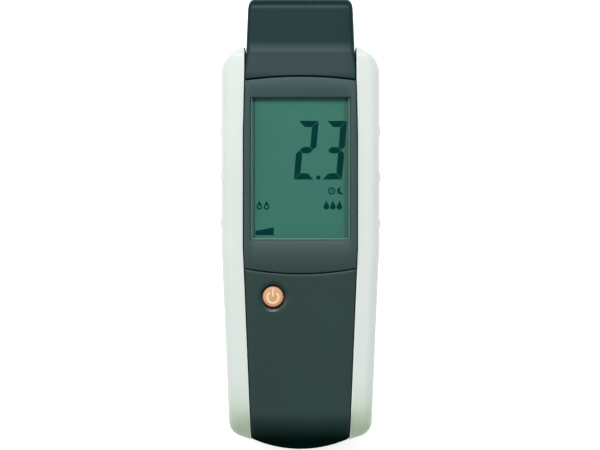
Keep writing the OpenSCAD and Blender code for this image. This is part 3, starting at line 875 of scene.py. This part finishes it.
TOE_START, TOE_FALL = -55.0, 11.0
NOSE_START, NOSE_LENGTH, NOSE_RISE = 47.8, 7.0, 8.1
HEEL_RISE = 5.1


def oval(y, centre, ry, rz):
    return rz * math.sqrt(max(1 - ((y - centre) / ry) ** 2, 0.0))


def rail_front(y):
    """Height of the rail's front, rounded at its top end and falling at its foot."""
    start = SHOULDER[1] + SHOULDER[2] - FRONT_R
    if y > start:
        return rail_high.z - FRONT_R + oval(y, start, FRONT_R, FRONT_R)
    if y < TOE_START:
        return rail_high.z - TOE_FALL + oval(y, TOE_START, TOE_START - TOE[1], TOE_FALL)
    return rail_high.z


def rail_back(y):
    """Height of the rail's back, which rises at both ends."""
    if y > NOSE_START:
        return rail_low.z + NOSE_RISE - oval(y, NOSE_START, NOSE_LENGTH, NOSE_RISE)
    if y < HEEL[1]:
        return rail_low.z + HEEL_RISE - oval(y, HEEL[1], HEEL[1] - TOE[1], HEEL_RISE)
    return rail_low.z


def rail_stations():
    """Where the rail's sections stand, from the top end to the foot."""
    reach = math.sqrt(SHOULDER[2] ** 2 - (strip_half(NECK_END_Y) + RAIL_SEAM - SHOULDER[0]) ** 2)
    ends = [SHOULDER[1] + reach * math.sin(math.radians(a)) for a in steps(90, 0, 34)]
    middle = steps(SHOULDER[1] - 0.5, -5, 130)
    taper = steps(-6, HEEL[1] + 0.5, 60)
    heel = [HEEL[1] - HEEL[2] * math.sin(a) for a in steps(0, HEEL_TURN, 18)]
    corner_x, corner_y = heel_corner()
    slope = (corner_y - TOE[1]) / (corner_x - TOE[0])
    toe_end = corner_y - slope * (corner_x - strip_half(-66) - RAIL_SEAM)
    return ends + middle + taper + heel + steps(corner_y, toe_end, 6)[1:]


RAIL_FALL = 0.25
BACK_RX, BACK_RZ, BACK_Z = 9.0, 9.1, 10.0


def rail_outline():
    """The rail's skin as shares: 0 to 1 from lip to flank, 0 to 1 from back to front."""
    inner, front, back = STRIP_HALF + RAIL_SEAM, 25.0, 0.9
    corner_x = RAIL_HALF - FRONT_R
    face = steps(inner + 0.6, corner_x, 6)
    points = [(x, front - RAIL_FALL * (x - inner) / (corner_x - inner)) for x in face]
    for c, s in map(turn_of, steps(84, 0, 14)):
        points.append((corner_x + FRONT_R * c, front - RAIL_FALL - FRONT_R + FRONT_R * s))
    points += [(RAIL_HALF, z) for z in steps(21, 10.5, 34)]
    for c, s in map(turn_of, steps(0, -75, 16)):
        points.append((RAIL_HALF - BACK_RX + BACK_RX * c, BACK_Z + BACK_RZ * s))
    return [((x - inner) / (RAIL_HALF - inner), (z - back) / (front - back)) for x, z in points
            if x > inner + 0.5]


RAIL_SKIN = rail_outline()


def grip_bulge(y, z):
    """How far a grip ridge stands out of the flank."""
    for grip in GRIPS:
        along = 1 - ((y - grip) / GRIP_HALF) ** 2
        if along > 0 and GRIP_LOW < z < GRIP_HIGH:
            rise = smooth((z - GRIP_LOW) / GRIP_FADE)
            return GRIP_PROUD * along * rise * smooth((GRIP_HIGH - z) / GRIP_FADE)
    return 0.0


LEDGE_IN = 0.2


def rail_section(y):
    """The rail's closed outline at y, from its front lip round the flank to its back lip."""
    lip = RAIL_LIP
    inner = strip_half(y) + RAIL_SEAM
    outer = max(outline_half(y), inner + 0.004)
    front, back = rail_front(y), rail_back(y)
    span = min(1.0, (outer - inner) / 1.5)
    points = [(inner, y, front - lip), (inner + lip * 0.3 * span, y, front - lip * 0.3),
              (inner + lip * span, y, front - 0.02), (inner + lip * 1.3 * span, y, front - 0.03)]
    for across, up in RAIL_SKIN:
        z = lerp(back, front, up)
        points.append((lerp(inner, outer, across) + grip_bulge(y, z), y, z))
    ledge = inner - LEDGE_IN * span
    return points + [(inner + lip * 0.3 * span, y, back + 0.08), (inner, y, back + lip),
                     (ledge, y, back + lip + 0.3), (ledge, y, front - 2.8), (inner, y, front - 0.9)]


def make_rail(side, name, replaced):
    sections = [rail_section(y) for y in rail_stations()]
    rings = [[(side * x, y, z) for x, y, z in section] for section in sections]
    verts, faces = loft(rings, cap_start=True, cap_end=True)
    mesh_piece(name, verts, faces, "case", rail_silver, [replaced], 50.0)


# ---------------------------------------------------------------- protective cap
def cap_front(y):
    """Height of the cap's face: a gentle slope up to the ridge line, then a sweep to the level."""
    if y <= CAP_BASE_Y:
        return cap_high.z
    if y <= RIDGE_Y:
        return lerp(cap_high.z, RIDGE_Z, (y - CAP_BASE_Y) / (RIDGE_Y - CAP_BASE_Y))
    if y <= RIDGE_Y + SWEEP:
        t = (y - RIDGE_Y) / SWEEP
        return CAP_FACE_Z + (RIDGE_Z - CAP_FACE_Z) * (1 - t) ** 2
    end = RIDGE_Y + SWEEP
    return lerp(CAP_FACE_Z, CAP_TIP_Z, (y - end) / (cap_high.y - CAP_TIP_R - end))


WAIST_START, WAIST_Y = 50.4, 54.6
TIP_SIDE_R = 1.9


def cap_half(y):
    """Half width of the cap, which narrows past the ridge line and a little towards the tip."""
    if y < WAIST_Y:
        share = (y - WAIST_START) / (WAIST_Y - WAIST_START)
        return lerp(CAP_HALF_BASE, CAP_HALF_WAIST, smooth(share))
    end = cap_high.y - TIP_SIDE_R
    return lerp(CAP_HALF_WAIST, CAP_HALF_TIP, (y - WAIST_Y) / (end - WAIST_Y))


def rounded_section(half, low, high, r_front, r_back):
    """A rounded rectangle in X and Z, clockwise from the start of its front right corner."""
    points = []
    corners = [(half - r_front, high - r_front, r_front, 90, 0),
               (half - r_back, low + r_back, r_back, 0, -90),
               (-half + r_back, low + r_back, r_back, -90, -180),
               (-half + r_front, high - r_front, r_front, -180, -270)]
    for cx, cz, r, first, last in corners:
        points += [(cx + r * c, cz + r * s) for c, s in map(turn_of, steps(first, last, CORNER_STEPS))]
    between = steps(0, 1, EDGE_STEPS)[1:-1]
    filled = []
    for i, p in enumerate(points):
        q = points[(i + 1) % len(points)]
        filled.append(p)
        if (i + 1) % (CORNER_STEPS + 1) == 0:
            filled += [(lerp(p[0], q[0], t), lerp(p[1], q[1], t)) for t in between]
    return filled


def cap_mouth(x):
    return upper_seam(x, CAP_GAP)


CAP_MOUTH_EDGE = 0.16
CAP_FIRST_Y = 46.6
NOSE_ROOM = 0.3
CAP_CLOSE = 0.97
TIP_LENGTH = 3.2
CAP_BODY_END_Y = 58


def cap_hollow():
    """Rings of the cap's inside, from its closed end to the chamfer at its mouth."""
    half, low, high = nose_high.x + NOSE_ROOM, nose_low.z - NOSE_ROOM, nose_high.z + NOSE_ROOM
    end = cap_high.y - CAP_WALL
    hollow = rounded_section(half, low, high, 0.5, 0.5)
    rings = [[(x * CAP_CLOSE, end, lerp(PIN_Z, z, CAP_CLOSE)) for x, z in hollow],
             [(x, end - 0.4, z) for x, z in hollow]]
    for t in steps(0.1, 0.9, 4):
        rings.append([(x, lerp(end, cap_mouth(x), t), z) for x, z in hollow])
    rings.append([(x, cap_mouth(x) + 0.3, z) for x, z in hollow])
    lip = rounded_section(half + 0.25, low - 0.25, high + 0.25, 0.6, 0.6)
    rings.append([(x, cap_mouth(x), z) for x, z in lip])
    return rings


def cap_base():
    """Rings of the cap's rounded mouth and of the short straight part beside it."""
    rings = []
    half = CAP_HALF_BASE
    for c, s in map(turn_of, (0, 30, 60, 90)):
        trim = CAP_MOUTH_EDGE * (1 - s)
        shape = rounded_section(half - trim, CAP_BACK_Z + trim, cap_high.z - trim, CAP_EDGE_R,
                                CAP_BACK_R)
        rings.append([(x, cap_mouth(x) + CAP_MOUTH_EDGE * (1 - c), z) for x, z in shape])
    for t in steps(0.25, 1, 3):
        front = cap_front(lerp(CAP_BASE_Y, CAP_FIRST_Y, t))
        shape = rounded_section(half, CAP_BACK_Z, front, CAP_EDGE_R, CAP_BACK_R)
        rings.append([(x, lerp(cap_mouth(x) + CAP_MOUTH_EDGE, CAP_FIRST_Y, t), z)
                      for x, z in shape])
    return rings


def cap_body(turn):
    """Rings of the cap up to where its tip starts to round, close together at the ridge line."""
    ridge = [RIDGE_Y + d for d in (-0.25, -0.1, 0.0, 0.1, 0.25)]
    sweep = steps(RIDGE_Y + 0.5, RIDGE_Y + SWEEP, 14)
    rise = steps(CAP_FIRST_Y + 0.35, RIDGE_Y - 0.5, 16)
    rings = []
    for y in rise + ridge + sweep + steps(CAP_BODY_END_Y, turn - 0.1, 12):
        fillet = lerp(CAP_EDGE_R, CAP_FACE_R, smooth((y - CAP_BASE_Y) / 7))
        back = lerp(CAP_BACK_Z, CAP_TIP_BACK_Z, (y - 45) / 21)
        shape = rounded_section(cap_half(y), back, cap_front(y), fillet, CAP_BACK_R)
        rings.append([(x, y, z) for x, z in shape])
    return rings


def cap_tip(turn):
    """Rings of the cap's rounded tip."""
    rings = []
    for c, s in map(turn_of, steps(8, 90, 14)):
        shape = rounded_section(CAP_HALF_TIP - TIP_SIDE_R + TIP_SIDE_R * c,
                                CAP_TIP_BACK_Z + TIP_LENGTH * (1 - c),
                                cap_front(turn) - CAP_TIP_R * (1 - c), CAP_FACE_R, CAP_BACK_R)
        rings.append([(x, turn + TIP_LENGTH * s, z) for x, z in shape])
    return rings


def make_cap():
    """One closed skin: the hollow from its end to the mouth, then the outside to the tip."""
    turn = cap_high.y - TIP_LENGTH
    rings = cap_hollow() + cap_base() + cap_body(turn) + cap_tip(turn)
    verts, faces = loft(rings, cap_start=True, cap_end=True)
    mesh_piece("pull_off_cap", verts, faces, "cap", cap_dark, ["protective_cap"],
               40.0)


# ---------------------------------------------------------------- power button
BUTTON_EDGE = 0.5
BUTTON_RIM = (4.3, 23.1, 22.4)
STEM_R = 1.6


def make_button():
    """A round cap with a rounded edge, a rim that holds it under the panel, and a stem."""
    top = button_high.z
    edge = BUTTON_EDGE
    rim_r, rim_top, rim_low = BUTTON_RIM
    profile = [(0.0, top), (BUTTON_R - edge - 0.25, top)]
    for c, s in map(turn_of, steps(75, 0, 5)):
        profile.append((BUTTON_R - edge + edge * c, top - 0.04 - edge + edge * s))
    profile += [(BUTTON_R, rim_top), (rim_r, rim_top), (rim_r, rim_low), (STEM_R, rim_low),
                (STEM_R, button_low.z), (0.0, button_low.z)]
    verts, faces = lathe(profile, (BUTTON.x, BUTTON.y))
    mesh_piece("button_cap", verts, faces, "button", orange, ["power_button"])


make_bezel()
make_pane()
make_lower_panel()
make_upper_case()
make_rail(1, "rail_right", "right_side_rail")
make_rail(-1, "rail_left", "left_side_rail")
make_cap()
make_button()
